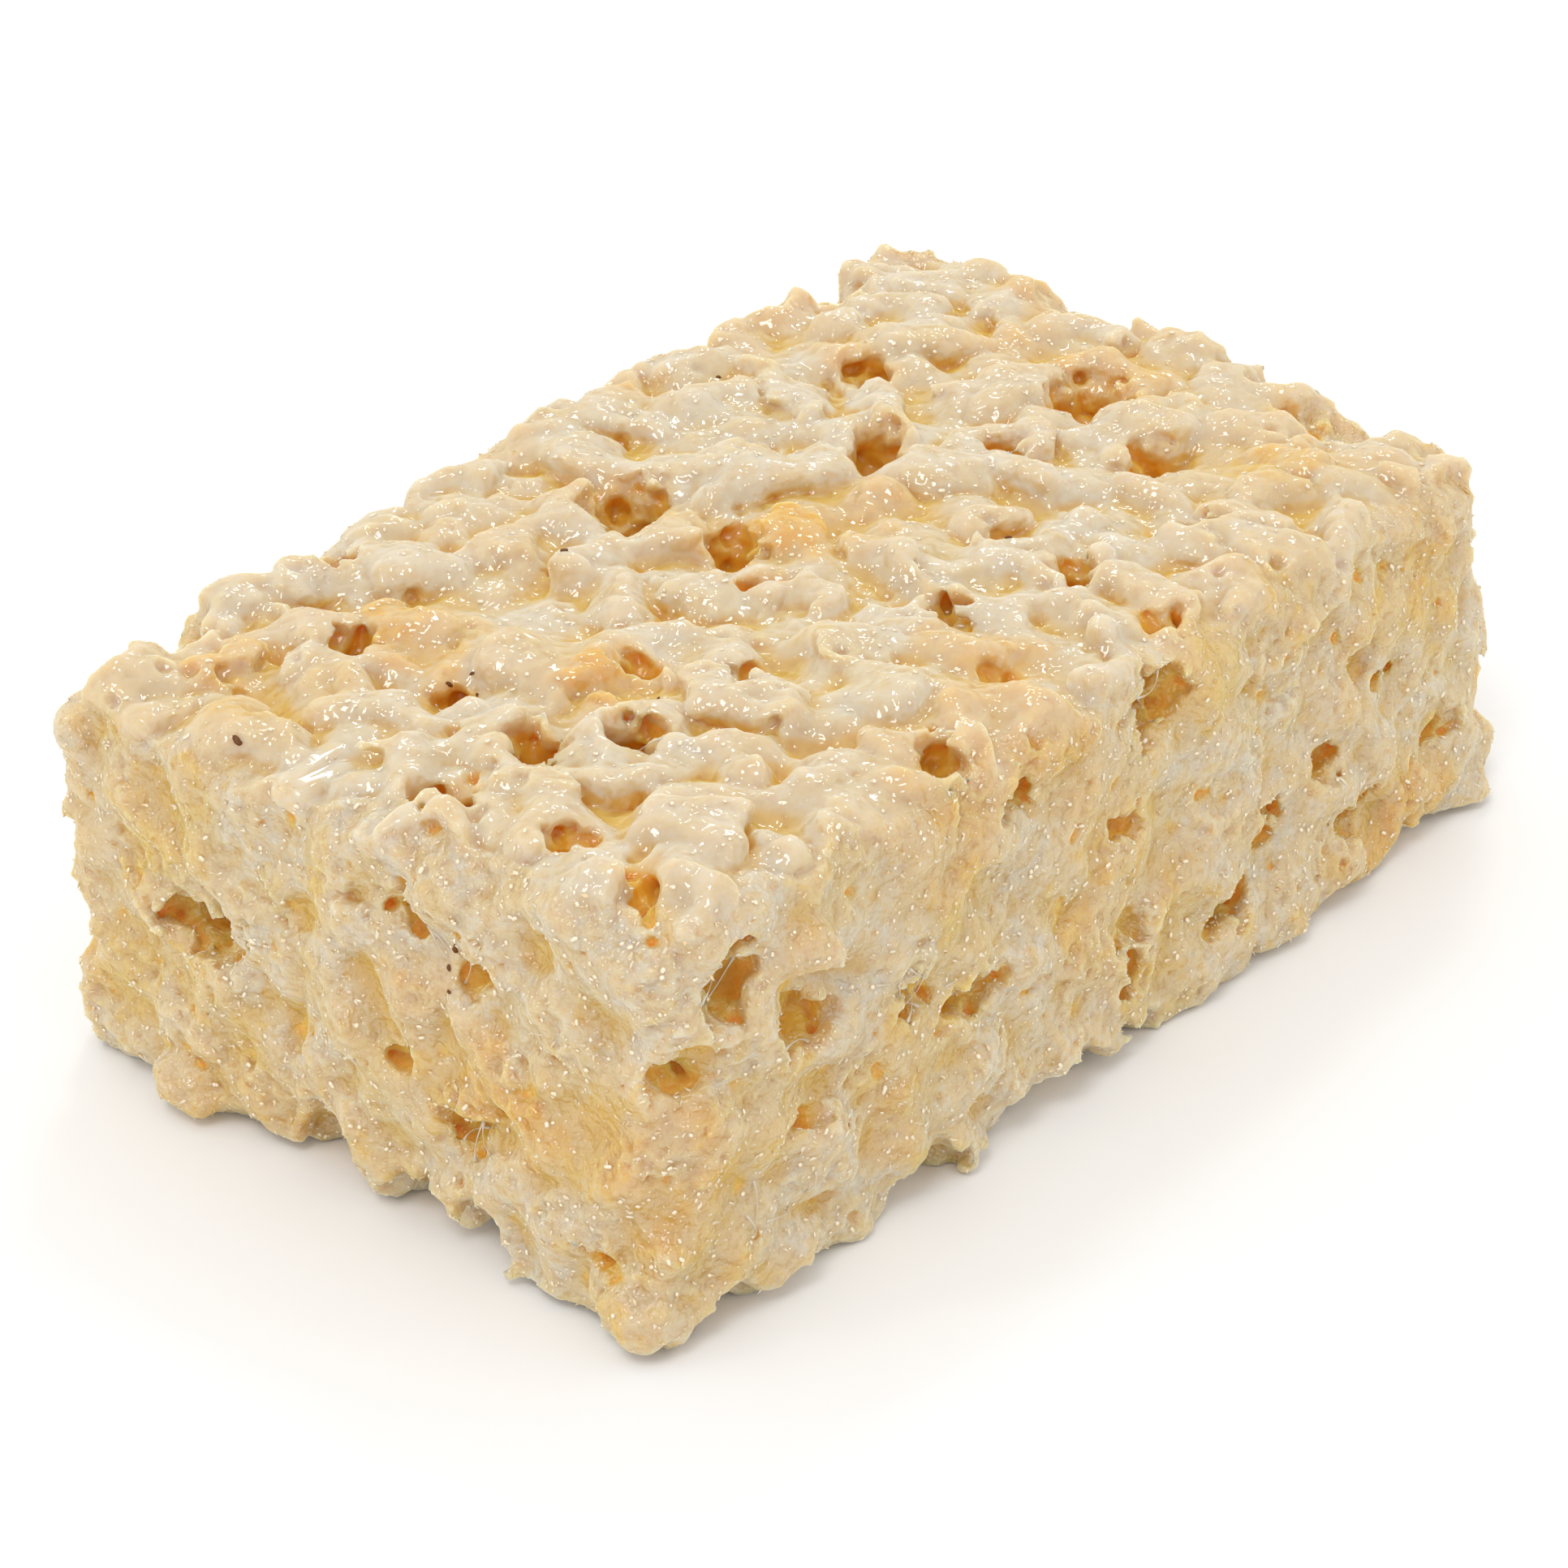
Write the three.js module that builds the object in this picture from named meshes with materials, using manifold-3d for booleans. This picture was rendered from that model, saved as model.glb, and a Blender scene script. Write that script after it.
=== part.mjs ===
// Crispy rice treat: a bar cut from a pan of puffed rice grains that melted marshmallow holds together.
// The top shows whole glazed grains with pits between them, and the four sides are cut through the grains.
// Millimetres, +Z up. X runs along the bar, Y across it, and the bar rests on the plane Z = 0.
//
// The bar is one solid. Its faces start as a rounded, slightly bent block. Each point of them then sinks
// straight in until it meets a grain of rice or the marshmallow web, so that the grains stand out as bumps.
import * as THREE from "three";
import { mergeVertices } from "three/addons/utils/BufferGeometryUtils.js";
import Module from "manifold-3d";

// The bar's driving sizes.
const LENGTH = 68.6;
const WIDTH = 40.6;
const HEIGHT = 22.5;
const EDGE_RADIUS = 3; // the rounding of the bar's edges and corners
const RIPPLE = 0.4; // how far the cut faces and the top wander in and out
const RIPPLE_LENGTH = 11; // from one crest of that to the next
const RIM_HEIGHT = 2.6; // the sides draw in below this height
const RIM_INSET = 0.5; // how far they have drawn in at the base
const FACET = 1.22; // the distance between neighbouring points of the surface
const BELOW_BASE = 4.4; // how far the block runs below the base before it is cut flat there
const HEART_INSET = 8; // the points sink toward a smaller block this far inside

// One puffed grain of rice, as half its length, breadth and thickness.
const GRAIN_HALF = [3.3, 2.15, 1.95];
const GRAIN_SPREAD = 0.16; // how much a grain's size differs from that, as a share

// The grains lie in layers of staggered rows, each knocked off its place.
const COLUMNS = 12;
const ROWS = 9;
const LAYERS = 6;
const JITTER = 0.24; // as a share of the distance between neighbours
const TOP_LAYER_DEPTH = 1.9; // from the top of the bar to the centres of the highest upper grains
const TOP_LAYER_DROP = 0.9; // how much lower than that an upper grain may lie
const FLAT_TILT = 0.3; // radians, the most that an upper grain leans
const LOOSE_TILT = 0.9; // radians, the most that any other grain leans
const SEED = 20417;

// The marshmallow between the grains.
const WEB_DEPTH = 1.9; // how far it lies below the bar's faces
const COAT = 0.45; // how thickly it covers the grains
const FILLET = 0.25; // how softly grains, web and pits run into one another

// Where each corner of the bar lies away from a true block's corner: [x side, y side, z side, dx, dy, dz].
const CORNER_SHIFTS = [
  [-1, -1, 0, -1.2, -0.5, 0],
  [1, -1, 0, 1.4, -1.7, 0],
  [-1, 1, 0, 0, 0.2, 0],
  [1, 1, 0, 0.6, 0.6, 0],
  [-1, -1, 1, 0.7, 0, 0.8],
  [1, -1, 1, -1, 0.9, -1.6],
  [-1, 1, 1, -0.4, -0.6, -1.3],
  [1, 1, 1, 0.2, 0.4, 0.5],
];

const BOW = 0.8; // how far the long sides bulge at the middle of the bar

// The long axis of most pits in the top, in plan.
const PIT_TURN = THREE.MathUtils.degToRad(39.7);

// Pits between the upper grains: [x, y, length, breadth, depth].
const TOP_PITS = [
  [-2.9, 9.6, 5.4, 4.4, 5],
  [-2.2, 3.4, 4.6, 3, 4],
  [10.9, 4, 4, 3, 4],
  [17.7, 9.9, 3, 2.8, 3],
  [23.4, -1.2, 4.8, 4.6, 4],
  [-24.6, -3.4, 3.6, 2.8, 4],
  [-21.6, -6.6, 3.4, 2.4, 4],
  [-30.6, -3.4, 3.4, 3, 4.5],
  [-1.5, -9.4, 3.6, 2.2, 3.5],
  [6.3, -11.8, 3, 2.4, 3.5],
  [-22.4, 10.3, 3, 2, 3.5],
  [-22.7, 3.5, 3.2, 2.4, 3.5],
  [-13.6, -18, 3.4, 2.2, 4],
  [19.9, -7.7, 2.6, 3, 3],
  [-16.4, 17.6, 3, 3, 3],
  [30.6, -10.4, 3, 3, 3],
];

// Holes in the long cut side that faces -Y: [x, z, length, height, depth].
const LONG_SIDE_HOLES = [
  [-30.2, 17.4, 2.8, 4, 4.5],
  [-32.4, 13.8, 3.4, 3, 4],
  [-25.3, 13.4, 4.2, 2.8, 3.5],
  [-13.5, 9.4, 5, 2, 3],
  [1.6, 18.9, 4.8, 3, 4.5],
  [15.9, 9.4, 2.6, 2, 3.5],
  [11.1, 7.8, 2.2, 2.6, 3.5],
  [7, 4.8, 4.4, 1.9, 4],
  [18.3, 5.1, 4.2, 1.8, 3.5],
];

// Holes in the short cut side that faces -X: [y, z, length, height, depth].
const SHORT_SIDE_HOLES = [
  [9.6, 11.3, 6, 2.8, 4.5],
  [-4.2, 17.2, 2.4, 1.6, 3],
  [-8.1, 15.3, 2, 1.9, 3],
  [-7.2, 6.7, 2.4, 2.2, 3.5],
];

// Grains that stand out on the top: [x, y, height over the flat top, half length, half breadth,
// half thickness, turn in plan in degrees, lean in degrees].
const CHIEF_GRAINS = [
  [3.6, 7.2, -1.6, 6, 2.5, 2.1, -48, 0],
  [0.4, 0.6, -1.8, 2.6, 2.1, 2.2, 20, 35],
  [-15.2, -8.2, -1.7, 4.4, 2.1, 2, -92, -4],
  [-26.4, -14.2, -1.9, 2.9, 2.6, 2.4, -30, 0],
  [20.6, 2.8, -1.8, 3.6, 2.5, 2.1, -35, 5],
  [21.6, -5.2, -1.7, 4.2, 2.4, 2.1, -12, 4],
  [-18.2, 1.6, -1.8, 3.4, 2.6, 2, -70, 0],
];
const CHIEF_CLEARANCE = 0.55; // the share of a drawn grain's half size that keeps clear of a chief grain

const TREAT_CREAM = new THREE.Color(0.87, 0.78, 0.62);

// A seeded draw from low to high: the same run of numbers each time.
function makeDraw(seed) {
  let state = seed;
  return (low, high) => {
    state = (state * 1664525 + 1013904223) % 4294967296;
    return low + ((high - low) * state) / 4294967296;
  };
}

// Bends a point of the true block to the uneven bar: its eight corners' shifts are blended along the three
// axes, and the long sides bulge between their ends.
function bent(point) {
  const along = [point.x / LENGTH + 0.5, point.y / WIDTH + 0.5, point.z / HEIGHT];
  const moved = point.clone();
  for (const [sideX, sideY, sideZ, dx, dy, dz] of CORNER_SHIFTS) {
    const share =
      (sideX > 0 ? along[0] : 1 - along[0]) *
      (sideY > 0 ? along[1] : 1 - along[1]) *
      (sideZ > 0 ? along[2] : 1 - along[2]);
    moved.add(new THREE.Vector3(dx, dy, dz).multiplyScalar(share));
  }
  const bow = 1 - (2 * along[0] - 1) ** 2;
  moved.y += BOW * bow * (2 * along[1] - 1);
  return moved;
}

// The slow wander of the bar's faces: one wave runs along and up the bar, and another across and down it.
function ripple(point) {
  const perLength = (2 * Math.PI) / RIPPLE_LENGTH;
  return RIPPLE * Math.sin(perLength * (point.x + point.z)) * Math.cos(perLength * (point.y - point.z));
}

// An ellipsoid as its centre and the matrix that brings it to a unit sphere. Its length points along turn in
// plan and leans up by lean.
function ellipsoid(centre, halves, turn = 0, lean = 0) {
  const rotation = new THREE.Matrix4().makeRotationZ(turn).multiply(new THREE.Matrix4().makeRotationY(-lean));
  const fromUnit = rotation.scale(new THREE.Vector3(...halves));
  return { centre, toUnit: new THREE.Matrix3().setFromMatrix4(fromUnit.invert()) };
}

// Whether a point in plan is covered by a chief grain.
function coveredByChief(x, y) {
  return CHIEF_GRAINS.some(([chiefX, chiefY, , halfLength, halfBreadth, , turn]) => {
    const centre = new THREE.Vector2(chiefX, chiefY);
    const offset = new THREE.Vector2(x, y).rotateAround(centre, -THREE.MathUtils.degToRad(turn)).sub(centre);
    offset.x /= halfLength + CHIEF_CLEARANCE * GRAIN_HALF[0];
    offset.y /= halfBreadth + CHIEF_CLEARANCE * GRAIN_HALF[1];
    return offset.length() < 1;
  });
}

// Every grain of the heap, layer by layer from the base. The lowest layer's centres lie half a step above it,
// and the upper layer's near the top.
function drawnGrains() {
  const draw = makeDraw(SEED);
  const grains = [];
  const pitch = [LENGTH / COLUMNS, WIDTH / ROWS, (HEIGHT - TOP_LAYER_DEPTH) / (LAYERS - 0.5)];
  for (let layer = 0; layer < LAYERS; layer++)
    for (let row = 0; row < ROWS; row++)
      for (let column = 0; column < COLUMNS; column++) {
        const onTop = layer === LAYERS - 1;
        const stagger = (row + layer) % 2 ? 0.25 : -0.25;
        const x = (column + 0.5 + stagger + draw(-JITTER, JITTER)) * pitch[0] - LENGTH / 2;
        const y = (row + 0.5 + draw(-JITTER, JITTER)) * pitch[1] - WIDTH / 2;
        const inLayer = draw(-JITTER, JITTER);
        const drop = draw(0, TOP_LAYER_DROP);
        const z = onTop ? HEIGHT - TOP_LAYER_DEPTH - drop : (layer + 0.5 + inLayer) * pitch[2];
        const size = 1 + draw(-GRAIN_SPREAD, GRAIN_SPREAD);
        const turn = draw(0, Math.PI);
        const tilt = onTop ? FLAT_TILT : LOOSE_TILT;
        const lean = draw(-tilt, tilt);
        if (onTop && coveredByChief(x, y)) continue;
        const halves = GRAIN_HALF.map((half) => half * size);
        grains.push(ellipsoid(bent(new THREE.Vector3(x, y, z)), halves, turn, lean));
      }
  return grains;
}

function chiefGrain([x, y, rise, halfLength, halfBreadth, halfThickness, turn, lean]) {
  const centre = bent(new THREE.Vector3(x, y, HEIGHT + rise));
  const angles = [turn, lean].map(THREE.MathUtils.degToRad);
  return ellipsoid(centre, [halfLength, halfBreadth, halfThickness], ...angles);
}

function topPit([x, y, length, breadth, depth]) {
  return ellipsoid(bent(new THREE.Vector3(x, y, HEIGHT)), [length / 2, breadth / 2, depth], PIT_TURN);
}

function longSideHole([x, z, length, height, depth]) {
  return ellipsoid(bent(new THREE.Vector3(x, -WIDTH / 2, z)), [length / 2, depth, height / 2]);
}

function shortSideHole([y, z, length, height, depth]) {
  return ellipsoid(bent(new THREE.Vector3(-LENGTH / 2, y, z)), [depth, length / 2, height / 2]);
}

// How a ray that starts at point and runs along inward passes an ellipsoid: the depth where it comes nearest
// to the centre, and how far the ellipsoid bulges there along the ray, below zero where the ray misses it.
function passage({ centre, toUnit }, point, inward) {
  const start = point.clone().sub(centre).applyMatrix3(toUnit);
  const step = inward.clone().applyMatrix3(toUnit);
  const nearest = -start.dot(step) / step.lengthSq();
  const gap = start.addScaledVector(step, nearest).lengthSq();
  return { nearest, bulge: (1 - gap) / step.length() };
}

// The smaller of many values, rounded off where they are nearly alike.
function softMinimum(values, softness) {
  const least = Math.min(...values);
  const sum = values.reduce((total, value) => total + Math.exp((least - value) / softness), 0);
  return least - softness * Math.log(sum);
}

// How deep the surface lies below the block's face: at the first grain or at the web, and deeper in a pit.
function reliefDepth(grains, pits, point, inward) {
  const isNear = ({ centre }) => centre.distanceTo(point) < HEART_INSET;
  const depths = [WEB_DEPTH];
  for (const grain of grains.filter(isNear)) {
    const { nearest, bulge } = passage(grain, point, inward);
    depths.push(Math.max(nearest - bulge - COAT, 0));
  }
  let depth = Math.max(softMinimum(depths, FILLET), 0);
  for (const pit of pits.filter(isNear)) {
    const { nearest, bulge } = passage(pit, point, inward);
    if (bulge > 0) depth = Math.max(depth, nearest + bulge);
  }
  return depth;
}

// The block's faces as a closed net of points, each sunk to the grains and the web.
function reliefGeometry() {
  const grains = [...drawnGrains(), ...CHIEF_GRAINS.map(chiefGrain)];
  const sideHoles = [...LONG_SIDE_HOLES.map(longSideHole), ...SHORT_SIDE_HOLES.map(shortSideHole)];
  const pits = [...TOP_PITS.map(topPit), ...sideHoles];
  const full = new THREE.Vector3(LENGTH, WIDTH, HEIGHT + BELOW_BASE);
  const geometry = new THREE.BoxGeometry(...full, ...full.toArray().map((size) => Math.round(size / FACET)));
  const straight = full.clone().multiplyScalar(0.5).subScalar(EDGE_RADIUS);
  const heart = full.clone().multiplyScalar(0.5).subScalar(HEART_INSET);
  const places = geometry.getAttribute("position");
  for (let i = 0; i < places.count; i++) {
    const point = new THREE.Vector3().fromBufferAttribute(places, i);
    const onStraight = point.clone().clamp(straight.clone().negate(), straight);
    point.sub(onStraight).setLength(EDGE_RADIUS).add(onStraight);
    const inward = point.clone().clamp(heart.clone().negate(), heart).sub(point).normalize();
    point.z += full.z / 2 - BELOW_BASE;
    const rim = Math.max(1 - Math.max(point.z, 0) / RIM_HEIGHT, 0);
    point.addScaledVector(inward, RIM_INSET * rim * rim + ripple(point));
    point.copy(bent(point));
    point.addScaledVector(inward, reliefDepth(grains, pits, point, inward));
    places.setXYZ(i, ...point);
  }
  return geometry;
}

const wasm = await Module();
wasm.setup();

// A closed geometry as a solid, by its places alone.
function solidOf(geometry) {
  geometry.deleteAttribute("normal");
  geometry.deleteAttribute("uv");
  const merged = mergeVertices(geometry);
  const vertProperties = merged.getAttribute("position").array;
  const triVerts = new Uint32Array(merged.getIndex().array);
  return new wasm.Manifold(new wasm.Mesh({ numProp: 3, vertProperties, triVerts }));
}

// The bar: the relief above the base plane, centred over the origin.
function treatGeometry() {
  const above = new THREE.BoxGeometry(2 * LENGTH, 2 * WIDTH, 2 * HEIGHT).translate(0, 0, HEIGHT);
  const { vertProperties, triVerts } = solidOf(reliefGeometry()).intersect(solidOf(above)).getMesh();
  const geometry = new THREE.BufferGeometry();
  geometry.setAttribute("position", new THREE.BufferAttribute(vertProperties, 3));
  geometry.setIndex(new THREE.BufferAttribute(triVerts, 1));
  geometry.computeBoundingBox();
  const centre = geometry.boundingBox.getCenter(new THREE.Vector3());
  geometry.translate(-centre.x, -centre.y, 0);
  geometry.computeVertexNormals();
  return geometry;
}

const treat = new THREE.Group();
const material = new THREE.MeshStandardMaterial({ color: TREAT_CREAM, roughness: 0.4, metalness: 0 });
const bar = new THREE.Mesh(treatGeometry(), material);
bar.name = "crispy_rice_bar";
treat.add(bar);

export default treat;
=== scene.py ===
"""Crispy rice treat: puffed rice grains in marshmallow, with a glazed, pitted top and torn cut sides."""

import math

import bpy
import numpy as np
import openvdb
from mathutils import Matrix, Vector


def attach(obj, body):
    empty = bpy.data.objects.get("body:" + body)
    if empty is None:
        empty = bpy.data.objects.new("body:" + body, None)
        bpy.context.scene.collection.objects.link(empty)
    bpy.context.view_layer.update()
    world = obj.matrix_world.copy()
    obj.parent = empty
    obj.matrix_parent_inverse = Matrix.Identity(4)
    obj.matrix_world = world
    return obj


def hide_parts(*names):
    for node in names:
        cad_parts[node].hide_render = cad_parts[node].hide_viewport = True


bl_info = {
    "name": "Crispy rice treat",
    "version": (1, 0, 0),
    "blender": (4, 5, 0),
    "location": "3D view > Sidebar > Treat",
    "description": "Builds a bar of puffed rice and marshmallow over its solid, with a studio stage",
    "category": "Object",
}

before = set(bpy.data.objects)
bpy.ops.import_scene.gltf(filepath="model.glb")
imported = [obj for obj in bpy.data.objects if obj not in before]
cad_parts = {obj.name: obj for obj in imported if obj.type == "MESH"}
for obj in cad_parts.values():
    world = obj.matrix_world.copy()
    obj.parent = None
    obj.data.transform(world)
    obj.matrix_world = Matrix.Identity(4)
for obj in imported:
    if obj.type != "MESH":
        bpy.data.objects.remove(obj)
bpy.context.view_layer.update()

NODE = "crispy_rice_bar"
MM = 0.001  # metres in a millimetre, the unit of every size below

# The bar's outer form, a rounded block.
LENGTH = 68.6
WIDTH = 40.6
HEIGHT = 22.5
EDGE_RADIUS = 3.0
BELOW_BASE = 4.4  # how far the block runs below the base that cuts it flat
RIPPLE = 0.4  # how far its faces wander in and out
RIPPLE_LENGTH = 11.0  # from one crest of that to the next
RIM_HEIGHT = 2.6  # the sides draw in below this height
RIM_INSET = 0.5  # how far they have drawn in at the base
SURFACE_INSET = 0.06  # how far the whole surface is drawn in
BOW = 0.8  # how far the long sides bulge
# How its corners are moved: (x side, y side, z side, dx, dy, dz).
CORNER_SHIFTS = (
    (-1, -1, 0, -1.2, -0.5, 0),
    (1, -1, 0, 1.4, -1.7, 0),
    (-1, 1, 0, 0, 0.2, 0),
    (1, 1, 0, 0.6, 0.6, 0),
    (-1, -1, 1, 0.7, 0, 0.8),
    (1, -1, 1, -1, 0.9, -1.6),
    (-1, 1, 1, -0.4, -0.6, -1.3),
    (1, 1, 1, 0.2, 0.4, 0.5),
)

# From the block's own middle to the middle of the frame's box.
FRAME_SHIFT = np.array([-0.142, 0.253, 0.0])

# The grains of rice and the layers that they lie in.
GRAIN_HALF = (3.3, 2.15, 1.95)  # half the length, breadth and thickness of a grain
GRAIN_SPREAD = 0.16  # how much its size differs from that, as a share
COLUMNS, ROWS, LAYERS = 12, 9, 6
JITTER = 0.24  # how far it is knocked off its place, as a share of the distance between neighbours
TOP_LAYER_DEPTH = 1.9  # from the top of the bar to the highest upper grains' centres
TOP_LAYER_DROP = 0.8  # how much lower than that an upper grain may lie
TOP_STRETCH = (1.12, 1.0, 1.0)  # how much larger an upper grain is, each way
FLAT_TILT = 0.3  # radians, the most that an upper grain leans
LOOSE_TILT = 0.9  # radians, the most that any other grain leans
SEED = 20417

# Grains that stand out on the top: (x, y, height over the top, half length, half breadth, half thickness,
# turn in degrees, lean in degrees, toast).
CHIEF_GRAINS = (
    (3.6, 7.2, -1.2, 5.9, 2.5, 2.1, -48, 0, 0),
    (0.1, 0.9, -1.35, 2.4, 1.9, 2.1, 20, 25, 1),
    (-15.2, -8.2, -1.7, 4.4, 2.1, 2, -92, -4, 0.15),
    (-26.4, -14.2, -1.9, 2.9, 2.6, 2.4, -30, 0, 0.2),
    (20.6, 2.8, -1.8, 3.6, 2.5, 2.1, -35, 5, 0.2),
    (21.6, -5.2, -1.7, 4.2, 2.4, 2.1, -12, 4, 0.1),
    (-18.2, 1.6, -1.8, 3.4, 2.6, 2, -70, 0, 0.3),
)
CHIEF_CLEARANCE = 0.62  # the share of a drawn grain's half size that keeps clear of them

# Pits in the top, (x, y, length, breadth, depth), and how they are turned. Holes in the cut sides,
# (x or y, z, length, height, depth), and the share of that depth to which they are made.
PIT_TURN = math.radians(39.7)
TOP_PITS = (
    (-2.9, 9.6, 5.4, 4.4, 5), (-2.2, 3.4, 4.6, 3, 4), (10.9, 4, 4, 3, 4), (17.7, 9.9, 3, 2.8, 3),
    (23.4, -1.2, 4.8, 4.6, 4), (-24.6, -3.4, 3.6, 2.8, 4), (-21.6, -6.6, 3.4, 2.4, 4),
    (-30.6, -3.4, 3.4, 3, 4.5), (-1.5, -9.4, 3.6, 2.2, 3.5), (6.3, -11.8, 3, 2.4, 3.5),
    (-22.4, 10.3, 3, 2, 3.5), (-22.7, 3.5, 3.2, 2.4, 3.5), (-13.6, -18, 3.4, 2.2, 4),
    (19.9, -7.7, 2.6, 3, 3), (-16.4, 17.6, 3, 3, 3), (30.6, -10.4, 3, 3, 3), (-4.9, -1.1, 1.6, 3.2, 2.5),
    (-15.6, -1.9, 1.6, 2, 2.5), (-13.6, -6.8, 3.5, 1.2, 2.5), (-4.9, -15.4, 1.8, 2, 2.5),
    (4.8, -18.3, 1.6, 2.2, 2.5), (-30.4, -10.7, 2.2, 1.8, 2.5), (-31.7, -16.2, 4.6, 1.1, 2.5),
    (14.5, -13.6, 1.2, 3.4, 2.5), (15.1, -1.1, 2.1, 2.6, 2.5),
)
LONG_SIDE_HOLES = (
    (-30.2, 17.4, 2.8, 4, 4.5), (-32.4, 13.8, 3.4, 3, 4), (-25.3, 13.4, 4.2, 2.8, 3.5),
    (-13.5, 9.4, 5, 2, 3), (1.6, 18.9, 4.8, 3, 4.5), (15.9, 9.4, 2.6, 2, 3.5), (11.1, 7.8, 2.2, 2.6, 3.5),
    (7, 4.8, 4.4, 1.9, 4), (18.3, 5.1, 4.2, 1.8, 3.5), (-17.9, 11.1, 2.7, 1.8, 2.5),
    (1.7, 17.2, 3.1, 0.9, 2), (-9.8, 18.4, 3.5, 1.3, 2.5), (-1.5, 5, 2.2, 2.3, 2.5),
    (22.1, 12.1, 3.2, 1, 2), (26.9, 6.9, 2.2, 1.6, 2.5), (-1.7, 13.5, 2.6, 1.4, 2),
    (-25.6, 8.8, 2.6, 0.9, 2),
)
SHORT_SIDE_HOLES = (
    (9.6, 11.3, 6, 2.8, 4.5), (-4.2, 17.2, 2.4, 1.6, 3), (-8.1, 15.3, 2, 1.9, 3),
    (-7.2, 6.7, 2.4, 2.2, 3.5), (-3.2, 9.5, 2, 1.1, 2), (-9.6, 8.7, 1.4, 0.8, 2), (-16.1, 3.8, 1.1, 0.9, 2),
)
SIDE_DEPTH = 0.75

# Dents and swellings of the bar's edges: (x, y, z, length in x, in y, in z).
EDGE_DENTS = (
    (31.5, 17.5, 22.5, 7.5, 6, 4), (24.6, 19.8, 22.5, 4.6, 7.4, 6), (20.6, 20.3, 22.5, 3.4, 4, 3.6),
    (34.3, 7.3, 22.5, 7, 5, 5), (34.3, -7, 22.5, 5.4, 3.4, 3.6), (33, -12.4, 22.5, 8.4, 6, 6),
    (34, -18.3, 22.5, 5.4, 5.4, 4.4), (34.3, -20.3, 18.5, 5.2, 5.2, 9.6), (34.3, -20.3, 6.6, 7.6, 7.6, 5),
    (32.6, -20.3, 0, 4.6, 3.4, 3), (23.7, -20.3, 0, 6, 4, 3.6), (16.7, -20.3, 0, 4, 3.6, 3.2),
    (-0.8, -20.3, 0, 5, 4.2, 4), (-6.2, -20.3, 0, 7.4, 5.4, 5.4), (-11.6, -20.3, 0, 4.6, 3.2, 3.2),
    (-16.6, -20.3, 0, 5.4, 5.6, 5.6), (-25.6, -20.3, 0, 4.4, 3.4, 3.2), (-29.6, -20.3, 0, 5, 4.6, 4.2),
    (-34.3, -8, 0, 6.2, 4.4, 6.6), (-34.3, -4.2, 0, 6.6, 5, 6.6), (-34.3, 1.8, 0, 7.6, 5.2, 8),
    (-34.3, 6.6, 0, 3.6, 3, 3), (-34.3, 20.3, 2, 4.2, 4.2, 4), (-34.3, 20.3, 7.6, 5.4, 5.4, 5),
    (-34.3, 20.3, 13, 3.4, 3.4, 3.4), (-30.6, 20.3, 22.5, 5, 4, 3.2), (-26.4, 20.2, 22.5, 5.4, 7, 7),
    (-18.2, 20.3, 22.5, 4.2, 5.6, 4.2),
)
EDGE_SWELLS = (
    (-22, 18.2, 21.2, 4, 4, 3), (-12, 18, 20.9, 4, 4, 2.4), (1.6, 18.3, 21.2, 6, 4, 2.8),
    (11.6, 18, 21, 4.4, 4, 2.6), (32, -1.4, 21.2, 4.4, 4.4, 2.8), (-34.3, 10.8, 1.8, 2.6, 4.6, 3),
    (11.6, -19.6, 1.8, 7, 2.4, 3.2), (-33.4, -17.9, 1.8, 3.4, 4, 3.2),
)

# Patches of colour: (x, y, z, radius, how toasted, how yellow).
PATCHES = (
    (-18.2, -2.2, 22.3, 2.5, 1.8, 0.3), (0, 1.2, 23, 2.1, 1.6, 0.1), (7.1, 17.7, 22.5, 2.4, 0.8, 0.3),
    (26, 5.6, 22.5, 2.6, 0.9, 0), (-20.2, 9.9, 22.5, 2, 0.6, 0), (-30.8, 9.3, 22.5, 2.8, 0.8, 0.3),
    (-26.1, 8, 22.5, 2, 0.9, 0.2), (2.1, -1.2, 22.5, 3.4, 0.8, 0.4), (-3.6, 12.8, 22.5, 2.2, 0.5, 0),
    (22.6, -13.5, 22.5, 4, 0.2, 0.8), (14.1, -20.3, 21, 3.4, 0.3, 0.7), (25.7, -20.3, 16.9, 3.4, 0.9, 0.9),
    (20.1, -20.3, 2.4, 4.6, 0.8, 0.5), (6, -20.3, 18.1, 3.2, 0.2, 0.6), (-3.2, -20.3, 13.3, 4, 0.4, 0.7),
    (-4.6, -20.3, 8, 3.2, 0.2, 0.8), (-16.4, -20.3, 20.1, 3.2, 0.7, 0.4),
    (-27.5, -20.3, 9.8, 2.8, 0.4, 0.6), (-32.1, -20.3, 5.9, 4.2, 0.3, 1), (-34.3, -14.2, 10.3, 3.8, 0.5, 1),
    (-34.3, -7.7, 8.1, 2.8, 0.3, 0.8), (-34.3, 2.5, 2.5, 3.2, 0.8, 0.5), (-34.3, 7.5, 3, 4.6, 0.5, 0.8),
    (-34.3, 9.5, 8, 3.2, 0.2, 0.8), (-34.3, 12.3, 15.2, 3.6, 0.1, 1), (-34.3, 15.3, 6.4, 3.6, 0, 0.9),
    (-33.9, 20.3, 12, 5, 0.3, 0.7), (-10, 20.3, 9, 6, 0.3, 0.8), (14, 20.3, 14, 5, 0.6, 0.5),
    (34.3, 6, 10, 6, 0.2, 0.8), (34.3, -9, 6, 4, 0.6, 0.5),
)

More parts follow.
